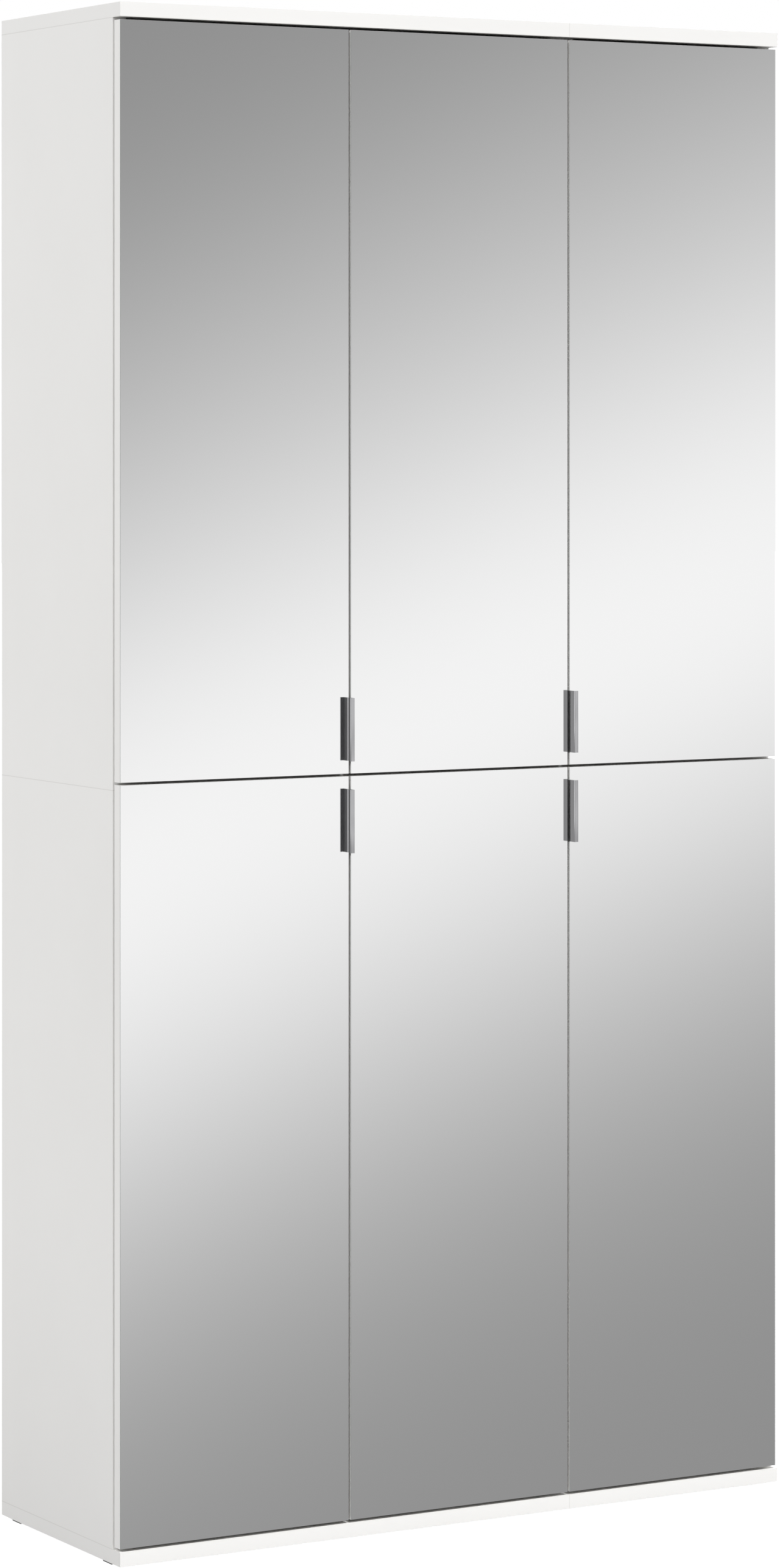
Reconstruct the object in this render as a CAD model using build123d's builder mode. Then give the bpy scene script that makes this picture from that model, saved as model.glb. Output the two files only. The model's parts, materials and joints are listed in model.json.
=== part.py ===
"""Tall shallow armoire: six mirrored doors, three columns by two rows, on flat-pack board carcasses.

The left and middle columns share one double unit. The right column is a single unit bolted beside it.
Frame: +X to the right, +Y to the back, +Z up. The doors face -Y. The origin lies on the floor, under
the middle of the overall outline, which includes the handles. All sizes are in millimetres.
"""
import os

from build123d import *

# --- driving dimensions -------------------------------------------------------------------------
width = 980.0
carcass_depth = 338.0
carcass_height = 1930.0
glide_height = 5.0
board = 18.0
column_count = 3

door_width = 323.4
door_board = 15.0
mirror_thickness = 1.0
top_reveal = 3.8
middle_gap = 3.3
bottom_reveal = 4.0
side_setback = 20.6

back_thickness = 3.0
groove_depth = 8.0
groove_width = 3.2
groove_from_back = 10.0
back_edge_room = 0.5

handle_length = 80.0
handle_from_door_end = 16.3
handle_projection = 13.9
handle_web = 1.05
handle_plate = 2.0
handle_lip_width = 5.8
handle_lip_thickness = 2.2
handle_lip_rounding = 0.7
handle_foot = 0.5
handle_flange_length = 15.0
handle_flange = 1.2

shelf_side_clearance = 0.5
shelf_front_inset = 16.0
shelf_back_gap = 4.0
middle_shelf_back_gap = 1.0
shelves_per_space = 2
pin_pitch = 32.0

# hinge geometry, measured from the door's hinge-side edge (u) and from the mirror plane (v); the doors
# turn about a vertical line at u = 10.0, v = 4.6
hinge_from_door_end = 100.0
cup_u = 22.5
cup_radius = 17.5
cup_depth = 11.5
cup_wall = 0.6

fit_gap = 0.1  # radial room between a fastener and its hole

head_radius = 3.5
head_height = 1.5
recess_length = 4.2
recess_width = 0.9
recess_depth = 1.0

# --- places worked out from them ----------------------------------------------------------------
x_left = -width / 2
x_right = width / 2
pitch = width / column_count
x_seam = x_left + 2 * pitch
y_back = (carcass_depth + handle_projection) / 2
y_front = y_back - carcass_depth
y_side = y_front + side_setback
z_bottom = glide_height
z_floor = z_bottom + board
z_top = z_bottom + carcass_height
z_ceiling = z_top - board
door_thickness = door_board + mirror_thickness
door_height = (carcass_height - 2 * board - top_reveal - middle_gap - bottom_reveal) / 2
z_lower_door = z_floor + bottom_reveal
z_upper_door = z_lower_door + door_height + middle_gap
z_middle = z_upper_door - middle_gap / 2
z_split = z_middle - board / 2
z_upper_floor = z_middle + board / 2
y_groove = y_back - groove_from_back - groove_width

units = {"double": (x_left, x_seam), "single": (x_seam, x_right)}
levels = {"lower": (z_floor, z_split), "upper": (z_upper_floor, z_ceiling)}
door_floors = {"lower": z_lower_door, "upper": z_upper_door}

# column name: (left edge of the doors, side that carries the hinges, side that carries the handle)
columns = {
    "left": (x_left, "left", "right"),
    "middle": (x_left + pitch, "right", None),
    "right": (x_left + 2 * pitch, "right", "left"),
}

os.makedirs("parts", exist_ok=True)


def save(part, label):
    """Label one finished piece and write it to its own file."""
    part.label = label
    export_step(part, f"parts/{label}.step")


def block(x0, x1, y0, y1, z0, z1, mode=Mode.ADD):
    """Add a box between two corners to the part being built, or cut it out."""
    with BuildSketch(Plane.XY.offset(z0)) as profile:
        with Locations(((x0 + x1) / 2, (y0 + y1) / 2)):
            Rectangle(abs(x1 - x0), abs(y1 - y0))
    extrude(profile.sketch, amount=z1 - z0, mode=mode)


def drill(point, direction, radius, depth):
    """Cut a flat-bottomed hole into the part being built, from a point on its face."""
    with BuildSketch(Plane(origin=point, z_dir=direction)) as profile:
        Circle(radius)
    extrude(profile.sketch, amount=depth, mode=Mode.SUBTRACT)


def rod(point, direction, radius, length):
    """Add a round bar to the part being built."""
    with BuildSketch(Plane(origin=point, z_dir=direction)) as profile:
        Circle(radius)
    extrude(profile.sketch, amount=length)


def cross_slot(point, direction, length, width, depth):
    """Cut a cross for a screwdriver into the part being built, from a point on its face."""
    with BuildSketch(Plane(origin=point, z_dir=direction)) as profile:
        Rectangle(length, width)
        Rectangle(width, length)
    extrude(profile.sketch, amount=depth, mode=Mode.SUBTRACT)


def screw(point, direction, shank_radius, shank):
    """Add a cross-head screw: point lies under the head, direction runs along the shank."""
    rod(point, direction, shank_radius, shank)
    top = Vector(*point) - Vector(*direction) * head_height
    rod(top, direction, head_radius, head_height)
    cross_slot(top, direction, recess_length, recess_width, recess_depth)


def solids_of(part):
    """Group separate solids so that they share one node."""
    return Compound(children=list(part.solids()))


# --- fastener places ------------------------------------------------------------------------------
cam_from_end = 24.0
cam_radius = 7.5
cam_depth = 12.0
cam_bolt_radius = 3.0
cam_bolt_in_board = 11.0
dowel_radius = 4.0
dowel_half = 15.0
dowel_end_room = 1.0
front_row = 37.0  # first row of drillings behind the sides' front edges
fitting_from_back = 50.0
seam_dowel_inset = 25.0  # how far the outer seam dowels stand inside the fittings
fitting_ys = (y_side + front_row, y_back - fitting_from_back)
dowel_y = (y_side + y_back) / 2
seam_dowel_ys = (fitting_ys[0] + seam_dowel_inset, dowel_y, fitting_ys[1] - seam_dowel_inset)

pin_radius = 2.5
pin_hole = 9.0
pin_end_room = 1.0
pin_reach = 8.0
pin_from_back = 63.0
pin_ys = (y_side + front_row, y_back - pin_from_back)

link_radius = 4.0
link_head_radius = 7.0
link_head = 1.4
link_from_front = 96.0
link_from_end = 150.0
link_y = y_side + link_from_front
link_zs = (
    z_floor + link_from_end,
    z_split - link_from_end,
    z_upper_floor + link_from_end,
    z_ceiling - link_from_end,
)

plate_screw_hole = 11.0
plate_screw_end_room = 1.0
plate_screw_radius = 2.5
plate_screw_offset = 16.0
plate_screw_v = side_setback + front_row


def shelf_floors(level):
    """Undersides of the adjustable shelves that share one level into equal spaces."""
    low, high = levels[level]
    space = (high - low - shelves_per_space * board) / (shelves_per_space + 1)
    return [low + space + i * (space + board) for i in range(shelves_per_space)]


def hinge_heights(level):
    """Middles of the two hinges of the doors on one level."""
    low = door_floors[level]
    return [low + hinge_from_door_end, low + door_height - hinge_from_door_end]


def inward(side):
    """+1 where the opening lies towards +X of that side, -1 where it lies towards -X."""
    return 1 if side == "left" else -1


def hinge_sides():
    """Every unit side that carries hinges, with the doors' hinge edge and the direction inward."""
    left_edge = columns["left"][0]
    middle_edge = columns["middle"][0] + door_width
    right_edge = columns["right"][0] + door_width
    return {("double", "left"): left_edge, ("double", "right"): middle_edge, ("single", "right"): right_edge}


# --- carcass boards ---------------------------------------------------------------------------------
def end_board(unit, place):
    """Top or bottom board of a unit: full depth, grooved for the back, drilled for the sides."""
    x0, x1 = units[unit]
    z0 = z_ceiling if place == "top" else z_bottom
    face_z = z_ceiling if place == "top" else z_floor
    into = (0, 0, 1) if place == "top" else (0, 0, -1)
    groove_z0 = face_z if place == "top" else face_z - groove_depth
    with BuildPart() as piece:
        block(x0, x1, y_front, y_back, z0, z0 + board)
        groove_x0 = x0 + board - groove_depth
        groove_x1 = x1 - board + groove_depth
        groove_y1 = y_groove + groove_width
        groove_z1 = groove_z0 + groove_depth
        block(groove_x0, groove_x1, y_groove, groove_y1, groove_z0, groove_z1, Mode.SUBTRACT)
        for x in (x0 + board / 2, x1 - board / 2):
            for y in fitting_ys:
                drill((x, y, face_z), into, cam_bolt_radius, cam_bolt_in_board)
            drill((x, dowel_y, face_z), into, dowel_radius, dowel_half)
    return piece.part


def side_board(unit, side, level):
    """One side of a unit, below or above the middle shelf, with its grooves and drillings."""
    x0, x1 = units[unit]
    step = inward(side)
    outer = x0 if side == "left" else x1
    inner = outer + step * board
    middle_x = outer + step * board / 2
    low, high = (z_floor, z_split) if level == "lower" else (z_split, z_ceiling)
    end_z = low if level == "lower" else high
    end_in = 1 if level == "lower" else -1
    seam_in = -1 if level == "lower" else 1
    into_face = (-step, 0, 0)
    with BuildPart() as piece:
        block(outer, inner, y_side, y_back, low, high)
        groove_end = inner - step * groove_depth
        block(inner, groove_end, y_groove, y_groove + groove_width, low, high, Mode.SUBTRACT)
        for y in fitting_ys:
            drill((inner, y, end_z + end_in * cam_from_end), into_face, cam_radius, cam_depth)
            drill((middle_x, y, end_z), (0, 0, end_in), cam_bolt_radius, cam_from_end)
            if level == "upper":
                drill((inner, y, z_middle), into_face, cam_bolt_radius, cam_bolt_in_board)
        drill((middle_x, dowel_y, end_z), (0, 0, end_in), dowel_radius, dowel_half)
        for y in seam_dowel_ys:
            drill((middle_x, y, z_split), (0, 0, seam_in), dowel_radius, dowel_half)
        for floor in shelf_floors(level):
            for y in pin_ys:
                for shift in (-pin_pitch, 0, pin_pitch):
                    z = floor - pin_radius + shift
                    drill((inner, y, z), into_face, pin_radius, pin_hole)
        if (unit, side) in hinge_sides():
            for height in hinge_heights(level):
                for shift in (-plate_screw_offset, plate_screw_offset):
                    point = (inner, y_front + plate_screw_v, height + shift)
                    drill(point, into_face, plate_screw_radius, plate_screw_hole)
        if side == ("right" if unit == "double" else "left"):
            for z in link_zs:
                if low < z < high:
                    drill((outer, link_y, z), (step, 0, 0), link_radius, board)
    return piece.part


def middle_shelf(unit):
    """Fixed shelf between the upper sides, behind the gap between the door rows."""
    x0, x1 = units[unit]
    with BuildPart() as piece:
        block(x0 + board, x1 - board, y_side, y_groove - middle_shelf_back_gap, z_split, z_upper_floor)
        for x, step in ((x0 + board, 1), (x1 - board, -1)):
            for y in fitting_ys:
                drill((x + step * cam_from_end, y, z_split), (0, 0, 1), cam_radius, cam_depth)
                drill((x, y, z_middle), (step, 0, 0), cam_bolt_radius, cam_from_end)
        for x in buffer_xs(unit):
            for z in (z_middle - buffer_shift, z_middle + buffer_shift):
                drill((x, y_side, z), (0, 1, 0), buffer_stem_radius, buffer_stem)
    return piece.part


def back_board(unit):
    """Thin back that slides in the grooves of the sides and of the end boards."""
    x0, x1 = units[unit]
    tongue = groove_depth - back_edge_room
    front = y_groove + fit_gap
    with BuildPart() as piece:
        block(
            x0 + board - tongue,
            x1 - board + tongue,
            front,
            front + back_thickness,
            z_floor - tongue,
            z_ceiling + tongue,
        )
    return piece.part


def loose_shelf(unit, floor):
    """Adjustable shelf resting on four pins."""
    x0, x1 = units[unit]
    with BuildPart() as piece:
        block(
            x0 + board + shelf_side_clearance,
            x1 - board - shelf_side_clearance,
            y_side + shelf_front_inset,
            y_groove - shelf_back_gap,
            floor,
            floor + board,
        )
    return piece.part


# --- door buffers on the front edge of the middle shelves -------------------------------------------
buffer_radius = 3.0
buffer_stem_radius = 1.5
buffer_stem = 8.0
buffer_stem_end_room = 1.0
buffer_shift = 5.0
buffer_from_door_edge = 22.0
buffer_length = side_setback - door_thickness - fit_gap


def buffer_xs(unit):
    """Buffer places of one unit, near the free edge of each door."""
    places = []
    for name, (edge, hinge_side, _) in columns.items():
        owner = "single" if name == "right" else "double"
        if owner == unit:
            free_edge = edge + door_width if hinge_side == "left" else edge
            places.append(free_edge - inward(hinge_side) * buffer_from_door_edge)
    return places


for unit in units:
    save(end_board(unit, "top"), f"{unit}_top_board")
    save(end_board(unit, "bottom"), f"{unit}_bottom_board")
    save(middle_shelf(unit), f"{unit}_middle_shelf")
    save(back_board(unit), f"{unit}_back_panel")
    for level in levels:
        for side in ("left", "right"):
            save(side_board(unit, side, level), f"{unit}_{level}_{side}_side")
        for number, floor in enumerate(shelf_floors(level), start=1):
            save(loose_shelf(unit, floor), f"{unit}_{level}_shelf_{number}")


# --- doors --------------------------------------------------------------------------------------------
cup_screw_offset = 24.0
cup_screw_radius = 1.75
cup_screw_length = 11.0
cup_flange = 1.0
cup_flange_width = 17.0
cup_flange_length = 62.0
cup_rim_radius = 19.5
handle_screw_offset = 25.0
handle_screw_from_edge = 8.5
handle_screw_length = 12.0

y_door_back = y_front + door_thickness
door_screw_radius = cup_screw_radius + fit_gap


def door_edges(column):
    """Hinge edge, free edge and the direction from the hinge edge to the free edge."""
    edge, hinge_side, _ = columns[column]
    if hinge_side == "left":
        return edge, edge + door_width, 1
    return edge + door_width, edge, -1


def handle_middle(level):
    """Height of the middle of a handle, close to the gap between the door rows."""
    if level == "upper":
        return z_upper_door + handle_from_door_end + handle_length / 2
    return z_lower_door + door_height - handle_from_door_end - handle_length / 2


def cup_screw_places(column, level):
    """Points under the heads of the screws that hold the hinge cups."""
    hinge_edge, _, step = door_edges(column)
    x = hinge_edge + step * cup_u
    y = y_door_back + cup_flange
    places = []
    for height in hinge_heights(level):
        for shift in (-cup_screw_offset, cup_screw_offset):
            places.append((x, y, height + shift))
    return places


def handle_screw_places(column, level):
    """Points under the heads of the screws that hold the handle's back flange."""
    if columns[column][2] is None:
        return []
    _, free_edge, step = door_edges(column)
    x = free_edge - step * handle_screw_from_edge
    y = y_door_back + handle_flange
    middle = handle_middle(level)
    return [(x, y, middle - handle_screw_offset), (x, y, middle + handle_screw_offset)]


def door_panel(column, level):
    """Door board with pockets for its hinge cups and pilot holes for its screws."""
    edge = columns[column][0]
    hinge_edge, _, step = door_edges(column)
    low = door_floors[level]
    with BuildPart() as piece:
        block(edge, edge + door_width, y_front + mirror_thickness, y_door_back, low, low + door_height)
        for height in hinge_heights(level):
            drill((hinge_edge + step * cup_u, y_door_back, height), (0, -1, 0), cup_radius, cup_depth)
        for x, _, z in cup_screw_places(column, level) + handle_screw_places(column, level):
            drill((x, y_door_back, z), (0, -1, 0), door_screw_radius, handle_screw_length)
    return piece.part


def mirror_sheet(column, level):
    """Mirror that covers the whole front of a door."""
    edge = columns[column][0]
    low = door_floors[level]
    with BuildPart() as piece:
        block(edge, edge + door_width, y_front, y_front + mirror_thickness, low, low + door_height)
    return piece.part


def hinge_cups(column, level):
    """The two hinge cups pressed into a door, with their screw wings."""
    hinge_edge, _, step = door_edges(column)
    x = hinge_edge + step * cup_u
    with BuildPart() as pieces:
        for height in hinge_heights(level):
            rim = Plane(origin=(x, y_door_back, height), z_dir=(0, 1, 0))
            with BuildSketch(rim):
                Circle(cup_rim_radius)
                SlotOverall(cup_flange_length, cup_flange_width)
            extrude(amount=cup_flange)
            with BuildSketch(rim):
                Circle(cup_radius - fit_gap)
            extrude(amount=-(cup_depth - fit_gap))
            with BuildSketch(rim.offset(cup_flange)):
                Circle(cup_radius - fit_gap - cup_wall)
            extrude(amount=-(cup_flange + cup_depth - fit_gap - cup_wall), mode=Mode.SUBTRACT)
        for point in cup_screw_places(column, level):
            drill(point, (0, -1, 0), door_screw_radius, cup_flange)
    return solids_of(pieces.part)


def edge_handle(column, level):
    """Edge pull: back flange, web round the free edge, front plate with a bevelled foot, turned lip."""
    _, free_edge, step = door_edges(column)
    outer = free_edge + step * handle_web
    y_tip = y_front - handle_projection
    outline = [
        (outer, y_tip),
        (outer, y_door_back + handle_flange),
        (outer - step * handle_flange_length, y_door_back + handle_flange),
        (outer - step * handle_flange_length, y_door_back),
        (free_edge, y_door_back),
        (free_edge, y_front),
        (outer - step * (handle_plate + handle_foot), y_front),
        (outer - step * handle_plate, y_front - handle_foot),
        (outer - step * handle_plate, y_tip + handle_lip_thickness),
        (outer - step * handle_lip_width, y_tip + handle_lip_thickness),
        (outer - step * handle_lip_width, y_tip),
    ]
    middle = handle_middle(level)
    with BuildPart() as piece:
        with BuildSketch(Plane.XY.offset(middle - handle_length / 2)):
            with BuildLine():
                Polyline(*outline, close=True)
            make_face()
        extrude(amount=handle_length)
        tip_edges = piece.edges().filter_by(Axis.Z).group_by(Axis.Y)[0]
        fillet(tip_edges, radius=handle_lip_rounding)
        for x, y, z in handle_screw_places(column, level):
            drill((x, y, z), (0, -1, 0), door_screw_radius, handle_flange)
    return piece.part


def door_screws(column, level):
    """Screws of the hinge cups and, where there is a handle, of its back flange."""
    with BuildPart() as pieces:
        for point in cup_screw_places(column, level) + handle_screw_places(column, level):
            screw(point, (0, -1, 0), cup_screw_radius, cup_screw_length)
    return solids_of(pieces.part)


for column in columns:
    for level in levels:
        name = f"{column}_{level}"
        save(door_panel(column, level), f"{name}_door")
        save(mirror_sheet(column, level), f"{name}_mirror")
        save(hinge_cups(column, level), f"{name}_hinge_cups")
        save(door_screws(column, level), f"{name}_door_screws")
        if columns[column][2] is not None:
            save(edge_handle(column, level), f"{name}_handle")


# --- hinge arms on the sides ----------------------------------------------------------------------------
arm_half = 4.0
arm_body_half = 7.0
arm_hook = 1.3
arm_tip_u = 12.0
arm_tip_v = 5.7
arm_neck = 4.0
arm_outer_u = 30.0
arm_shoulder_v = 30.0
arm_end_v = 85.0
plate_thickness = 2.0
plate_v0 = 42.0
plate_v1 = 74.0
plate_half = 26.0
plate_corner = 6.0
adjuster_vs = (52.0, 76.0)
adjuster_radius = 3.2
adjuster_head = 1.0


def hinge_arm(unit, side, height):
    """Solids of one mounting plate, its gooseneck arm, its two screws and its adjusting screws."""
    edge = hinge_sides()[(unit, side)]
    step = inward(side)
    outer = units[unit][0] if side == "left" else units[unit][1]
    face = outer + step * board
    plate_top = face + step * plate_thickness
    arm_outer = edge + step * arm_outer_u
    arm_inner = arm_outer - step * arm_neck
    tip = edge + step * arm_tip_u
    shoulder = abs(arm_inner - plate_top)
    outline = [
        (tip, y_front + arm_tip_v),
        (arm_outer, y_front + arm_tip_v),
        (arm_outer, y_front + arm_end_v),
        (plate_top, y_front + arm_end_v),
        (plate_top, y_front + arm_shoulder_v + shoulder),
        (arm_inner, y_front + arm_shoulder_v),
        (arm_inner, y_front + arm_tip_v + arm_hook),
        (tip, y_front + arm_tip_v + arm_hook),
    ]
    with BuildPart() as arm:
        with BuildSketch(Plane.XY.offset(height - arm_half)):
            with BuildLine():
                Polyline(*outline, close=True)
            make_face()
        extrude(amount=2 * arm_half)
        body_front = y_front + arm_shoulder_v + shoulder
        body_back = y_front + arm_end_v
        block(plate_top, arm_outer, body_front, body_back, height - arm_body_half, height + arm_body_half)
    with BuildPart() as plate:
        with BuildSketch(Plane(origin=(face, y_front, height), x_dir=(0, 1, 0), z_dir=(step, 0, 0))):
            with Locations(((plate_v0 + plate_v1) / 2, 0)):
                RectangleRounded(plate_v1 - plate_v0, 2 * plate_half, plate_corner)
        extrude(amount=plate_thickness)
        for shift in (-plate_screw_offset, plate_screw_offset):
            point = (plate_top, y_front + plate_screw_v, height + shift)
            drill(point, (-step, 0, 0), plate_screw_radius, plate_thickness)
    length = plate_thickness + plate_screw_hole - plate_screw_end_room
    with BuildPart() as screws:
        for shift in (-plate_screw_offset, plate_screw_offset):
            point = (plate_top, y_front + plate_screw_v, height + shift)
            screw(point, (-step, 0, 0), plate_screw_radius - fit_gap, length)
    with BuildPart() as adjusters:
        for v in adjuster_vs:
            top = (arm_outer + step * adjuster_head, y_front + v, height)
            rod(top, (-step, 0, 0), adjuster_radius, adjuster_head)
            cross_slot(top, (-step, 0, 0), recess_length, recess_width, adjuster_head / 2)
    solids = []
    for builder in (arm, plate, screws, adjusters):
        solids += builder.part.solids()
    return solids


for unit in units:
    arms = []
    for owner, side in hinge_sides():
        if owner == unit:
            for level in levels:
                for height in hinge_heights(level):
                    arms += hinge_arm(unit, side, height)
    save(Compound(children=arms), f"{unit}_hinge_arms")


# --- small fittings -----------------------------------------------------------------------------------
cam_cross_length = 9.0
cam_cross_width = 1.6
cam_cross_depth = 1.5


def cam(face, into_face):
    """Cam flush with a board's face, with a cross slot for the screwdriver."""
    with BuildPart() as piece:
        rod(face, into_face, cam_radius - fit_gap, cam_depth - fit_gap)
        cross_slot(face, into_face, cam_cross_length, cam_cross_width, cam_cross_depth)
    return list(piece.part.solids())


def cam_bolt(mouth, direction):
    """Bolt held in a board's drilling; it reaches from there to the rim of its cam."""
    start = Vector(*mouth) - Vector(*direction) * (cam_bolt_in_board - fit_gap)
    with BuildPart() as piece:
        length = cam_bolt_in_board - fit_gap + cam_from_end - cam_radius
        rod(start, direction, cam_bolt_radius - fit_gap, length)
    return list(piece.part.solids())


def joining_dowel(mouth, direction):
    """Wooden dowel half in each of the two boards that meet at the mouth."""
    half = dowel_half - dowel_end_room
    with BuildPart() as piece:
        rod(Vector(*mouth) - Vector(*direction) * half, direction, dowel_radius - fit_gap, 2 * half)
    return list(piece.part.solids())


cams = []
dowels = []
for x0, x1 in units.values():
    for outer, step in ((x0, 1), (x1, -1)):
        inner = outer + step * board
        middle_x = outer + step * board / 2
        for end_z, end_in in ((z_floor, 1), (z_ceiling, -1)):
            for y in fitting_ys:
                cams += cam((inner, y, end_z + end_in * cam_from_end), (-step, 0, 0))
                cams += cam_bolt((middle_x, y, end_z), (0, 0, end_in))
            dowels += joining_dowel((middle_x, dowel_y, end_z), (0, 0, end_in))
        for y in seam_dowel_ys:
            dowels += joining_dowel((middle_x, y, z_split), (0, 0, 1))
        for y in fitting_ys:
            cams += cam((inner + step * cam_from_end, y, z_split), (0, 0, 1))
            cams += cam_bolt((inner, y, z_middle), (step, 0, 0))
save(Compound(children=cams), "cam_fittings")
save(Compound(children=dowels), "joining_dowels")

pin_in_side = pin_hole - pin_end_room
with BuildPart() as shelf_pins:
    for x0, x1 in units.values():
        for face, step in ((x0 + board, 1), (x1 - board, -1)):
            for level in levels:
                for floor in shelf_floors(level):
                    for y in pin_ys:
                        start = (face - step * pin_in_side, y, floor - pin_radius + fit_gap)
                        rod(start, (step, 0, 0), pin_radius - fit_gap, pin_in_side + pin_reach)
save(solids_of(shelf_pins.part), "shelf_pins")

with BuildPart() as unit_connectors:
    for z in link_zs:
        rod((x_seam - board, link_y, z), (1, 0, 0), link_radius - fit_gap, 2 * board)
        rod((x_seam - board - link_head, link_y, z), (1, 0, 0), link_head_radius, link_head)
        rod((x_seam + board, link_y, z), (1, 0, 0), link_head_radius, link_head)
save(solids_of(unit_connectors.part), "unit_connectors")

with BuildPart() as door_buffers:
    for unit in units:
        for x in buffer_xs(unit):
            for z in (z_middle - buffer_shift, z_middle + buffer_shift):
                rod((x, y_side, z), (0, -1, 0), buffer_radius, buffer_length)
                stem = buffer_stem - buffer_stem_end_room
                rod((x, y_side, z), (0, 1, 0), buffer_stem_radius - fit_gap, stem)
save(solids_of(door_buffers.part), "door_buffers")

glide_width = 20.0
glide_length = 23.0
glide_from_end = 6.8
glide_from_front = 38.0
glide_from_back = 18.0
glide_chamfer = 0.5
with BuildPart() as floor_glides:
    for unit, (x0, x1) in units.items():
        starts = [x0 + glide_from_end, x1 - glide_from_end - glide_width]
        if unit == "double":
            starts.append((x0 + x1 - glide_width) / 2)
        for x in starts:
            for y in (y_front + glide_from_front, y_back - glide_from_back - glide_length):
                block(x, x + glide_width, y, y + glide_length, 0.0, glide_height)
    chamfer(floor_glides.faces().group_by(Axis.Z)[0].edges(), length=glide_chamfer)
save(solids_of(floor_glides.part), "floor_glides")
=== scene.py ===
"""Looks of the mirrored armoire: materials, fine detail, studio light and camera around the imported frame."""
import json
import math

import bpy
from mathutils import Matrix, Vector


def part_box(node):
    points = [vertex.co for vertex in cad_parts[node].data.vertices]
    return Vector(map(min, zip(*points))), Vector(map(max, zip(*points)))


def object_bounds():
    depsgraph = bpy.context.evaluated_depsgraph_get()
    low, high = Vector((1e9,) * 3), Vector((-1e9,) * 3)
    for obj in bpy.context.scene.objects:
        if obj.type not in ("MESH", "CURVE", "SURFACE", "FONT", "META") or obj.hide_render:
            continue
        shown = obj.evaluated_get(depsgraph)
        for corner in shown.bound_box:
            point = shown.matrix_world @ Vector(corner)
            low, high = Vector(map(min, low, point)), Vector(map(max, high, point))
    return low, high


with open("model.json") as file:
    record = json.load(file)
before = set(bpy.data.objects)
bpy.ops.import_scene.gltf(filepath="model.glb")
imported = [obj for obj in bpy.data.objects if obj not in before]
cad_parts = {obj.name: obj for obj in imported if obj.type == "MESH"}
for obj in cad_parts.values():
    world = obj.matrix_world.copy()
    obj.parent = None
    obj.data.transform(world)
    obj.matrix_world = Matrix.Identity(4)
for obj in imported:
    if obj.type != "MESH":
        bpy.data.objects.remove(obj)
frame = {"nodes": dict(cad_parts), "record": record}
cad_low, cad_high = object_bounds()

MM = 0.001
NODES = frame["nodes"]

# boards
WHITE_DARKER = (0.835, 0.828, 0.812)
WHITE_LIGHTER = (0.865, 0.858, 0.843)
JOINT_GREY = (0.66, 0.65, 0.63)
JOINT_HALF_WIDTH = 0.6 * MM
# where boards meet edge to edge, as the axis across the joint and its place along that axis
BOARD_JOINTS = (
    ("Z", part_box("double_lower_left_side")[0].z),
    ("Z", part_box("double_upper_left_side")[0].z),
    ("Z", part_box("double_top_board")[0].z),
    ("X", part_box("single_top_board")[0].x),
)

# backs
FOIL = (0.80, 0.79, 0.77)
FIBRE_DARKER = (0.20, 0.125, 0.07)
FIBRE_LIGHTER = (0.36, 0.245, 0.15)
STAIN = (0.7, 0.66, 0.6)
NO_STAIN = (1.0, 1.0, 1.0)
STAIN_SHARE = 0.35

# mirrors and handles
SILVER = (0.93, 0.93, 0.93)
GROUND_EDGE = (0.30, 0.32, 0.31)
CHROME = (0.47, 0.47, 0.48)
# darker chrome colour for the faces behind the lip: painted shade in that recess
CHROME_PAINTED_SHADE = (0.19, 0.19, 0.195)
CHROME_WAVE = 2.0 * MM
LIP_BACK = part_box("left_upper_handle")[0].y + 2.0 * MM

# widths of the small rounding on edges
BOARD_ROUNDING = 0.2 * MM
MIRROR_ROUNDING = 0.12 * MM
HANDLE_ROUNDING = 0.15 * MM
FITTING_ROUNDING = 0.25 * MM
SHARPEST_SMOOTH_ANGLE = 40.0
WELD_REACH = 0.001 * MM

# what polished surfaces see: soft bright strips, tilted across the room, and a pale wall to the left
STRIP_NORMAL = Vector((-0.525, 0.15, 0.84)).normalized()
# each soft strip's place along that normal, its half width and how much it adds to the room
SOFT_STRIPS = ((-0.445, 0.055, 0.67), (-0.365, 0.035, 0.08), (-0.165, 0.045, 0.46))
ROOM_BELOW = 0.287
ROOM_ABOVE = 0.50
# where along that normal the room turns from the one brightness to the other
ROOM_CHANGE = (-0.25, -0.08)
LEFT_WALL = 1.9

# light from all around on matt surfaces: stronger from above, weak straight from the front
AMBIENT_BELOW = 0.35
AMBIENT_ABOVE = 0.62
AMBIENT_FRONT_SHARE = 0.08

FLOOR_REACH = 40.0
FLOOR_PALE = 0.9
FLOOR_GLOW = 1.0
# share of the light that the floor gives back, near the armoire and away from it; the lower share near the
# armoire behind it is painted shade
BOUNCE_BEHIND_PAINTED_SHADE = (0.125, 0.44)
BOUNCE_AHEAD = (0.20, 0.18)

CAMERA_FROM_CORNER = Vector((-2.726, -5.371, 1.4059))
CAMERA_HEADING = -30.065
CAMERA_SENSOR = 36.0
CAMERA_LENS = 112.05
CAMERA_DROP = -0.2279
CAMERA_FAR_END = 100.0


# --- small helpers --------------------------------------------------------------------------------
def new_material(name):
    """An empty node material and its tree, with the output in place."""
    material = bpy.data.materials.new(name)
    material.use_nodes = True
    tree = material.node_tree
    tree.nodes.clear()
    output = tree.nodes.new("ShaderNodeOutputMaterial")
    return material, tree, output


def plug(tree, socket, value):
    """Link a socket to another node's output, or give it a fixed number, vector or colour."""
    if isinstance(value, bpy.types.NodeSocket):
        tree.links.new(value, socket)
    elif isinstance(value, tuple) and socket.type == "RGBA":
        socket.default_value = (*value, 1.0)
    else:
        socket.default_value = value


def add_node(tree, kind, inputs=None, **settings):
    """One shader node with its properties set and its inputs linked or set, by name."""
    node = tree.nodes.new(kind)
    for key, value in settings.items():
        setattr(node, key, value)
    for key, value in (inputs or {}).items():
        plug(tree, node.inputs[key], value)
    return node


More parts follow.
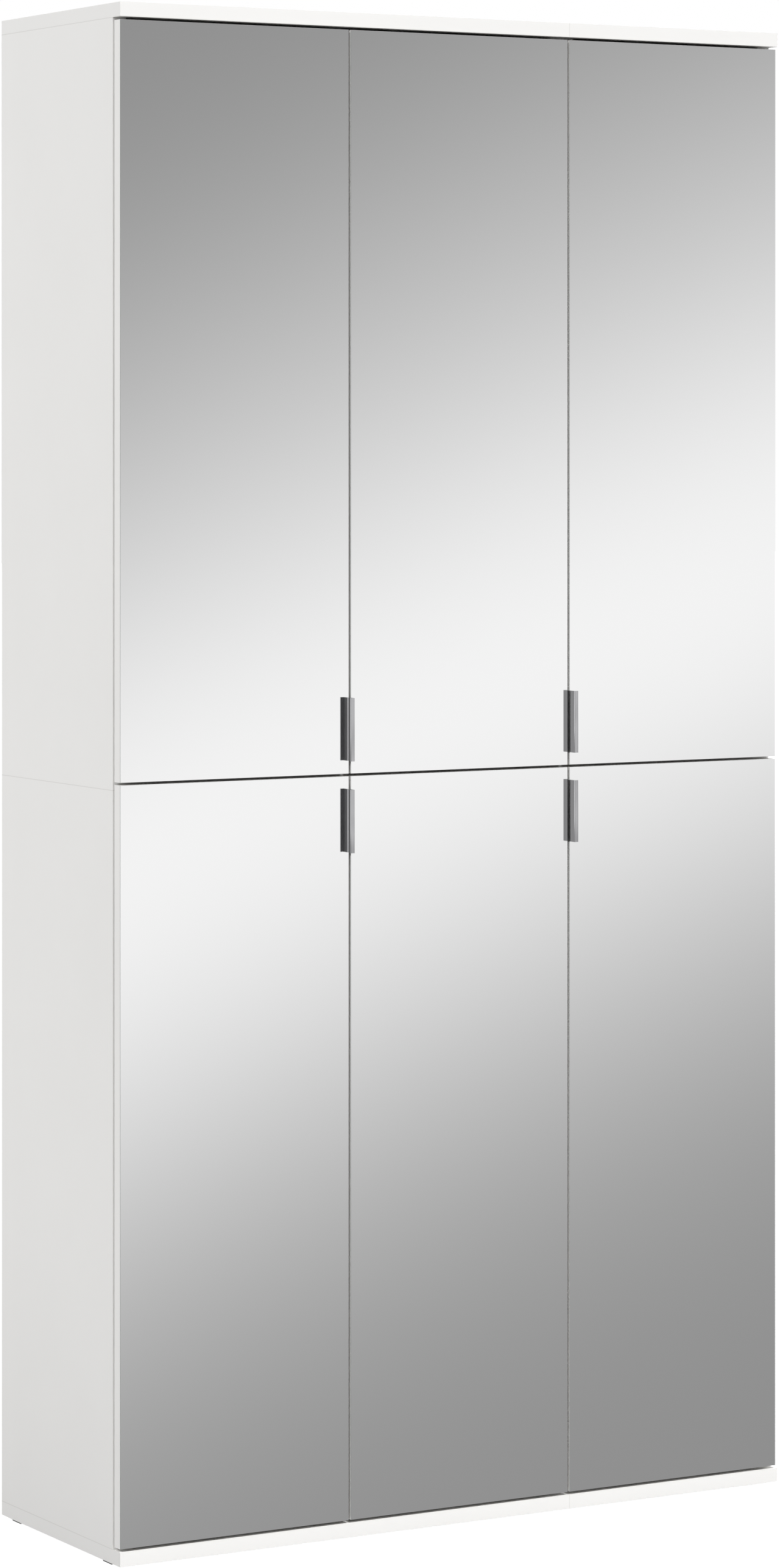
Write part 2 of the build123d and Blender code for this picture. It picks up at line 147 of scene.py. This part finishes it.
def principled(tree, output, **inputs):
    """The surface shader, wired to the output."""
    shader = add_node(tree, "ShaderNodeBsdfPrincipled", inputs)
    tree.links.new(shader.outputs["BSDF"], output.inputs["Surface"])
    return shader


def coordinates(tree, kind):
    """The object's own coordinates, its normal, or the world's direction, as a vector socket."""
    return tree.nodes.new("ShaderNodeTexCoord").outputs[kind]


def components(tree, vector):
    """The X, Y and Z sockets of a vector."""
    return add_node(tree, "ShaderNodeSeparateXYZ", {"Vector": vector}).outputs


def calculate(tree, operation, *values):
    """A value socket worked out from other sockets or fixed numbers."""
    node = add_node(tree, "ShaderNodeMath", operation=operation)
    for socket, value in zip(node.inputs, values):
        plug(tree, socket, value)
    return node.outputs["Value"]


def remap(tree, value, source=(0.0, 1.0), target=(0.0, 1.0), smooth=False):
    """A value socket carried from the source range to the target range, and held within it."""
    inputs = {"Value": value, "From Min": source[0], "From Max": source[1]}
    inputs.update({"To Min": target[0], "To Max": target[1]})
    kind = "SMOOTHSTEP" if smooth else "LINEAR"
    return add_node(tree, "ShaderNodeMapRange", inputs, interpolation_type=kind).outputs["Result"]


def mix_colors(tree, factor, low, high, mode="MIX"):
    """A colour socket between low and high, which are colours or sockets."""
    inputs = {"Factor": factor, "A": low, "B": high}
    node = add_node(tree, "ShaderNodeMix", inputs, data_type="RGBA", blend_type=mode)
    return node.outputs["Result"]


def object_noise(tree, scale, detail=2.0, roughness=0.5, stretch=(1.0, 1.0, 1.0)):
    """A noise socket in the object's own coordinates, optionally stretched along an axis."""
    mapping = add_node(tree, "ShaderNodeMapping", {"Vector": coordinates(tree, "Object"), "Scale": stretch})
    inputs = {"Vector": mapping.outputs["Vector"], "Scale": scale, "Detail": detail, "Roughness": roughness}
    return add_node(tree, "ShaderNodeTexNoise", inputs).outputs["Fac"]


def relief(tree, height, strength, distance, under=None):
    """A normal socket with fine relief, on top of another normal where one is given."""
    inputs = {"Height": height, "Strength": strength, "Distance": distance}
    bump = add_node(tree, "ShaderNodeBump", inputs)
    if under:
        tree.links.new(under, bump.inputs["Normal"])
    return bump.outputs["Normal"]


# --- materials ------------------------------------------------------------------------------------
def joint_mask(tree):
    """A value socket that rises to 1 on the hairline joints, on the faces that cross them."""
    point = components(tree, coordinates(tree, "Object"))
    facing = components(tree, coordinates(tree, "Normal"))
    total = 0.0
    for axis, place in BOARD_JOINTS:
        distance = calculate(tree, "ABSOLUTE", calculate(tree, "SUBTRACT", point[axis], place))
        line = remap(tree, distance, source=(0.0, JOINT_HALF_WIDTH), target=(1.0, 0.0))
        tilt = calculate(tree, "ABSOLUTE", facing[axis])
        crossing = calculate(tree, "LESS_THAN", tilt, 0.5)
        total = calculate(tree, "MAXIMUM", total, calculate(tree, "MULTIPLY", line, crossing))
    return total


def laminate(name, roughness, joints=False):
    """White melamine: a fine pearl texture, barely uneven in tone and gloss, greyer at the joints."""
    material, tree, output = new_material(name)
    tone = object_noise(tree, scale=7.0, detail=3.0)
    pearl = object_noise(tree, scale=1400.0, detail=2.0, roughness=0.6)
    color = mix_colors(tree, tone, WHITE_DARKER, WHITE_LIGHTER)
    if joints:
        color = mix_colors(tree, joint_mask(tree), color, JOINT_GREY)
    gloss = remap(tree, pearl, target=(roughness - 0.05, roughness + 0.05))
    normal = relief(tree, pearl, strength=0.12, distance=0.08 * MM)
    principled(tree, output, **{"Base Color": color, "Roughness": gloss, "Normal": normal, "IOR": 1.5})
    return material


def back_board():
    """Thin fibreboard: white foil towards the inside, bare brown fibres on the back."""
    material, tree, output = new_material("fibreboard_back")
    fibres = object_noise(tree, scale=420.0, detail=6.0, roughness=0.7, stretch=(1.0, 1.0, 0.35))
    clouds = object_noise(tree, scale=9.0, detail=4.0)
    bare = mix_colors(tree, fibres, FIBRE_DARKER, FIBRE_LIGHTER)
    stain = mix_colors(tree, clouds, STAIN, NO_STAIN)
    stained = mix_colors(tree, STAIN_SHARE, bare, stain, mode="MULTIPLY")
    facing = components(tree, coordinates(tree, "Normal"))
    behind = calculate(tree, "GREATER_THAN", facing["Y"], 0.5)
    color = mix_colors(tree, behind, FOIL, stained)
    gloss = remap(tree, fibres, target=(0.5, 0.75))
    normal = relief(tree, fibres, strength=0.25, distance=0.1 * MM)
    principled(tree, output, **{"Base Color": color, "Roughness": gloss, "Normal": normal, "IOR": 1.45})
    return material


def mirror_sheet():
    """Silvered sheet: near-perfect reflection with a trace of waviness, and dull ground edges."""
    material, tree, output = new_material("mirror_sheet")
    facing = components(tree, coordinates(tree, "Normal"))
    silvered = remap(tree, calculate(tree, "ABSOLUTE", facing["Y"]), source=(0.90, 0.98))
    color = mix_colors(tree, silvered, GROUND_EDGE, SILVER)
    gloss = remap(tree, silvered, target=(0.45, 0.0))
    wave = object_noise(tree, scale=3.0, detail=1.0)
    normal = relief(tree, wave, strength=0.02, distance=0.1 * MM)
    principled(tree, output, **{"Base Color": color, "Metallic": silvered, "Roughness": gloss,
                                "Normal": normal})
    return material


def metal(name, color, roughness, spread, grain, bump):
    """Plated metal whose gloss varies with a fine grain."""
    material, tree, output = new_material(name)
    noise = object_noise(tree, scale=grain, detail=3.0)
    gloss = remap(tree, noise, target=(roughness, roughness + spread))
    normal = relief(tree, noise, strength=bump, distance=0.05 * MM)
    principled(tree, output, **{"Base Color": color, "Metallic": 1.0, "Roughness": gloss, "Normal": normal})
    return material


def inside_of_handle(tree):
    """A value socket that is 1 on the flat faces behind a lip, turned towards the middle of the door, where
    the chrome is given painted shade.
    """
    point = components(tree, coordinates(tree, "Object"))
    facing = components(tree, coordinates(tree, "Normal"))
    inward = calculate(tree, "MULTIPLY", calculate(tree, "SIGN", point["X"]), facing["X"])
    faces_in = calculate(tree, "GREATER_THAN", inward, 0.9)
    behind_lip = calculate(tree, "GREATER_THAN", point["Y"], LIP_BACK)
    return calculate(tree, "MULTIPLY", faces_in, behind_lip)


def chrome():
    """Polished chrome with a slow unevenness, rougher and darker on the faces behind the lip, where the darker
    colour is painted shade.
    """
    material, tree, output = new_material("polished_chrome")
    inside = inside_of_handle(tree)
    # painted shade: the faces behind the lip get the darker chrome colour
    color = mix_colors(tree, inside, CHROME, CHROME_PAINTED_SHADE)
    gloss = remap(tree, inside, target=(0.06, 0.38))
    slow = relief(tree, object_noise(tree, scale=16.0, detail=0.0), strength=1.0, distance=CHROME_WAVE)
    grain = object_noise(tree, scale=500.0, detail=3.0)
    normal = relief(tree, grain, strength=0.02, distance=0.05 * MM, under=slow)
    principled(tree, output, **{"Base Color": color, "Metallic": 1.0, "Roughness": gloss, "Normal": normal})
    return material


def plastic(name, low, high, roughness, grain):
    """Moulded plastic with a fine satin texture."""
    material, tree, output = new_material(name)
    noise = object_noise(tree, scale=grain, detail=3.0)
    color = mix_colors(tree, noise, low, high)
    gloss = remap(tree, noise, target=(roughness - 0.06, roughness + 0.06))
    normal = relief(tree, noise, strength=0.15, distance=0.1 * MM)
    principled(tree, output, **{"Base Color": color, "Roughness": gloss, "Normal": normal, "IOR": 1.49})
    return material


def beech():
    """Bare beech of the dowels."""
    material, tree, output = new_material("beech_dowel")
    grain = object_noise(tree, scale=300.0, detail=4.0, stretch=(1.0, 1.0, 0.1))
    color = mix_colors(tree, grain, (0.42, 0.25, 0.12), (0.62, 0.42, 0.23))
    gloss = remap(tree, grain, target=(0.5, 0.7))
    principled(tree, output, **{"Base Color": color, "Roughness": gloss, "IOR": 1.45})
    return material


MATERIALS = {
    "white_laminate": laminate("white_melamine", roughness=0.42, joints=True),
    "door_laminate": laminate("door_melamine", roughness=0.40),
    "back_board": back_board(),
    "mirror": mirror_sheet(),
    "handle_metal": chrome(),
    "hinge_metal": metal("nickel_plated_steel", color=(0.66, 0.65, 0.63), roughness=0.22, spread=0.12,
                         grain=700.0, bump=0.10),
    "fittings_metal": metal("zinc_plated_steel", color=(0.60, 0.61, 0.62), roughness=0.28, spread=0.15,
                            grain=600.0, bump=0.12),
    "dowel_wood": beech(),
    "glide_plastic": plastic("black_glide_plastic", low=(0.012, 0.012, 0.012), high=(0.022, 0.022, 0.022),
                             roughness=0.5, grain=900.0),
    "buffer_plastic": plastic("soft_buffer_plastic", low=(0.62, 0.62, 0.60), high=(0.70, 0.70, 0.68),
                              roughness=0.35, grain=500.0),
}


def dress_cad_nodes():
    """Give every CAD node the finish of its slot."""
    for row in frame["record"]["subparts"]:
        node = NODES[row["node"]]
        node.data.materials.clear()
        node.data.materials.append(MATERIALS[row["material_slot"]])


def soften_edges(names, width):
    """Weld a CAD node's split corners and round its sharp edges slightly."""
    for name in names:
        weld = NODES[name].modifiers.new("weld", "WELD")
        weld.merge_threshold = WELD_REACH
        bevel = NODES[name].modifiers.new("edge_rounding", "BEVEL")
        bevel.width = width
        bevel.segments = 2
        bevel.limit_method = "ANGLE"
        bevel.angle_limit = math.radians(SHARPEST_SMOOTH_ANGLE)
        bevel.use_clamp_overlap = True
        bevel.harden_normals = False


def soften_all_edges():
    """Round the edges of boards, mirrors, handles and the larger fittings, each by its own width."""
    boards = [name for name in NODES if name.endswith(("_board", "_side", "_door")) or "_shelf" in name]
    soften_edges(boards, BOARD_ROUNDING)
    soften_edges([name for name in NODES if name.endswith("_mirror")], MIRROR_ROUNDING)
    soften_edges([name for name in NODES if name.endswith("_handle")], HANDLE_ROUNDING)
    soften_edges([name for name in NODES if name.endswith(("_screws", "_arms"))], FITTING_ROUNDING)


# --- studio ---------------------------------------------------------------------------------------
def reflected_strips(tree, toward):
    """A value socket with the tilted soft strips over a plain room, for a direction."""
    along = add_node(tree, "ShaderNodeVectorMath", {0: toward, 1: STRIP_NORMAL}, operation="DOT_PRODUCT")
    place = along.outputs["Value"]
    brightness = remap(tree, place, source=ROOM_CHANGE, target=(ROOM_BELOW, ROOM_ABOVE), smooth=True)
    for middle, half_width, strength in SOFT_STRIPS:
        offset = calculate(tree, "DIVIDE", calculate(tree, "SUBTRACT", place, middle), half_width)
        fading = calculate(tree, "POWER", 0.5, calculate(tree, "MULTIPLY", offset, offset))
        brightness = calculate(tree, "MULTIPLY_ADD", fading, strength, brightness)
    return brightness


def studio_world():
    """Plain white to the camera, gentle light from all around, and the strips and wall in reflections."""
    world = bpy.data.worlds.new("studio")
    bpy.context.scene.world = world
    world.use_nodes = True
    tree = world.node_tree
    tree.nodes.clear()
    toward = coordinates(tree, "Generated")
    x, y, z = components(tree, toward)
    above = remap(tree, z, source=(-0.2, 0.4), target=(AMBIENT_BELOW, AMBIENT_ABOVE), smooth=True)
    front = remap(tree, y, source=(-0.80, -0.45), target=(AMBIENT_FRONT_SHARE, 1.0), smooth=True)
    ambient = calculate(tree, "MULTIPLY", above, front)
    wall = remap(tree, x, source=(-0.97, -0.70), target=(LEFT_WALL, 0.0), smooth=True)
    wall_foot = remap(tree, z, source=(-0.40, -0.12), smooth=True)
    polish = calculate(tree, "MULTIPLY_ADD", wall, wall_foot, reflected_strips(tree, toward))
    ray = tree.nodes.new("ShaderNodeLightPath").outputs
    seen = mix_colors(tree, ray["Is Glossy Ray"], ambient, polish)
    shown = mix_colors(tree, ray["Is Camera Ray"], seen, (1.0, 1.0, 1.0))
    background = add_node(tree, "ShaderNodeBackground", {"Color": shown})
    output = tree.nodes.new("ShaderNodeOutputWorld")
    tree.links.new(background.outputs["Background"], output.inputs["Surface"])


def soft_sun(name, toward, spread, strength):
    """Even light from a wide soft source far away, which polish doesn't show."""
    light = bpy.data.lights.new(name, "SUN")
    light.angle = math.radians(spread)
    light.energy = strength
    holder = bpy.data.objects.new(name, light)
    bpy.context.scene.collection.objects.link(holder)
    holder.rotation_euler = Vector(toward).to_track_quat("Z", "Y").to_euler()
    holder.visible_glossy = False


def floor_material():
    """Pale and lit to the camera; to the light it bounces, darker near the armoire and in front of it, the
    darkening near the armoire being painted shade.
    """
    material, tree, output = new_material("studio_floor")
    place = coordinates(tree, "Object")
    away = add_node(tree, "ShaderNodeVectorMath", {0: place}, operation="LENGTH").outputs["Value"]
    # painted shade: the floor gives back less light close to the armoire
    behind = remap(tree, away, source=(0.40, 2.4), target=BOUNCE_BEHIND_PAINTED_SHADE, smooth=True)
    ahead = remap(tree, away, source=(1.2, 3.2), target=BOUNCE_AHEAD, smooth=True)
    in_front = calculate(tree, "LESS_THAN", components(tree, place)["Y"], cad_low.y)
    bounce = mix_colors(tree, in_front, behind, ahead)
    pale = add_node(tree, "ShaderNodeBsdfDiffuse", {"Color": (FLOOR_PALE, FLOOR_PALE, FLOOR_PALE)})
    glow = add_node(tree, "ShaderNodeEmission", {"Strength": FLOOR_GLOW})
    lit = add_node(tree, "ShaderNodeAddShader", {0: pale.outputs["BSDF"], 1: glow.outputs["Emission"]})
    dim = add_node(tree, "ShaderNodeBsdfDiffuse", {"Color": bounce})
    ray = tree.nodes.new("ShaderNodeLightPath").outputs
    chosen = add_node(tree, "ShaderNodeMixShader",
                      {0: ray["Is Camera Ray"], 1: dim.outputs["BSDF"], 2: lit.outputs["Shader"]})
    tree.links.new(chosen.outputs["Shader"], output.inputs["Surface"])
    return material


def studio_floor():
    """Pale seamless floor that doesn't show in the mirrors."""
    mesh = bpy.data.meshes.new("studio_floor")
    corners = [(x * FLOOR_REACH, y * FLOOR_REACH, 0.0) for x, y in ((-1, -1), (1, -1), (1, 1), (-1, 1))]
    mesh.from_pydata(corners, [], [(0, 1, 2, 3)])
    mesh.materials.append(floor_material())
    floor = bpy.data.objects.new("studio_floor", mesh)
    bpy.context.scene.collection.objects.link(floor)
    floor.visible_glossy = False


def studio_camera():
    """Level camera to the front left of the near corner, its view dropped by shift, not by tilt."""
    corner = Vector((cad_low.x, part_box("double_top_board")[0].y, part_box("double_bottom_board")[0].z))
    data = bpy.data.cameras.new("camera")
    data.sensor_width = CAMERA_SENSOR
    data.lens = CAMERA_LENS
    data.shift_y = CAMERA_DROP
    data.clip_end = CAMERA_FAR_END
    camera = bpy.data.objects.new("camera", data)
    bpy.context.scene.collection.objects.link(camera)
    camera.location = corner + CAMERA_FROM_CORNER
    camera.rotation_euler = (math.radians(90.0), 0.0, math.radians(CAMERA_HEADING))
    bpy.context.scene.camera = camera


def light_the_studio():
    """World, suns, floor and a plain view transform."""
    studio_world()
    soft_sun("key_light", toward=(0.0, -0.64, 0.77), spread=18.0, strength=2.84)
    soft_sun("left_light", toward=(-0.65, -0.42, 0.63), spread=16.0, strength=1.84)
    soft_sun("right_fill", toward=(1.0, 0.05, 0.35), spread=24.0, strength=1.15)
    studio_floor()
    view = bpy.context.scene.view_settings
    view.view_transform = "Standard"
    view.look = "None"
    view.exposure = 0.0
    view.gamma = 1.0


studio_camera()
light_the_studio()
dress_cad_nodes()
soften_all_edges()
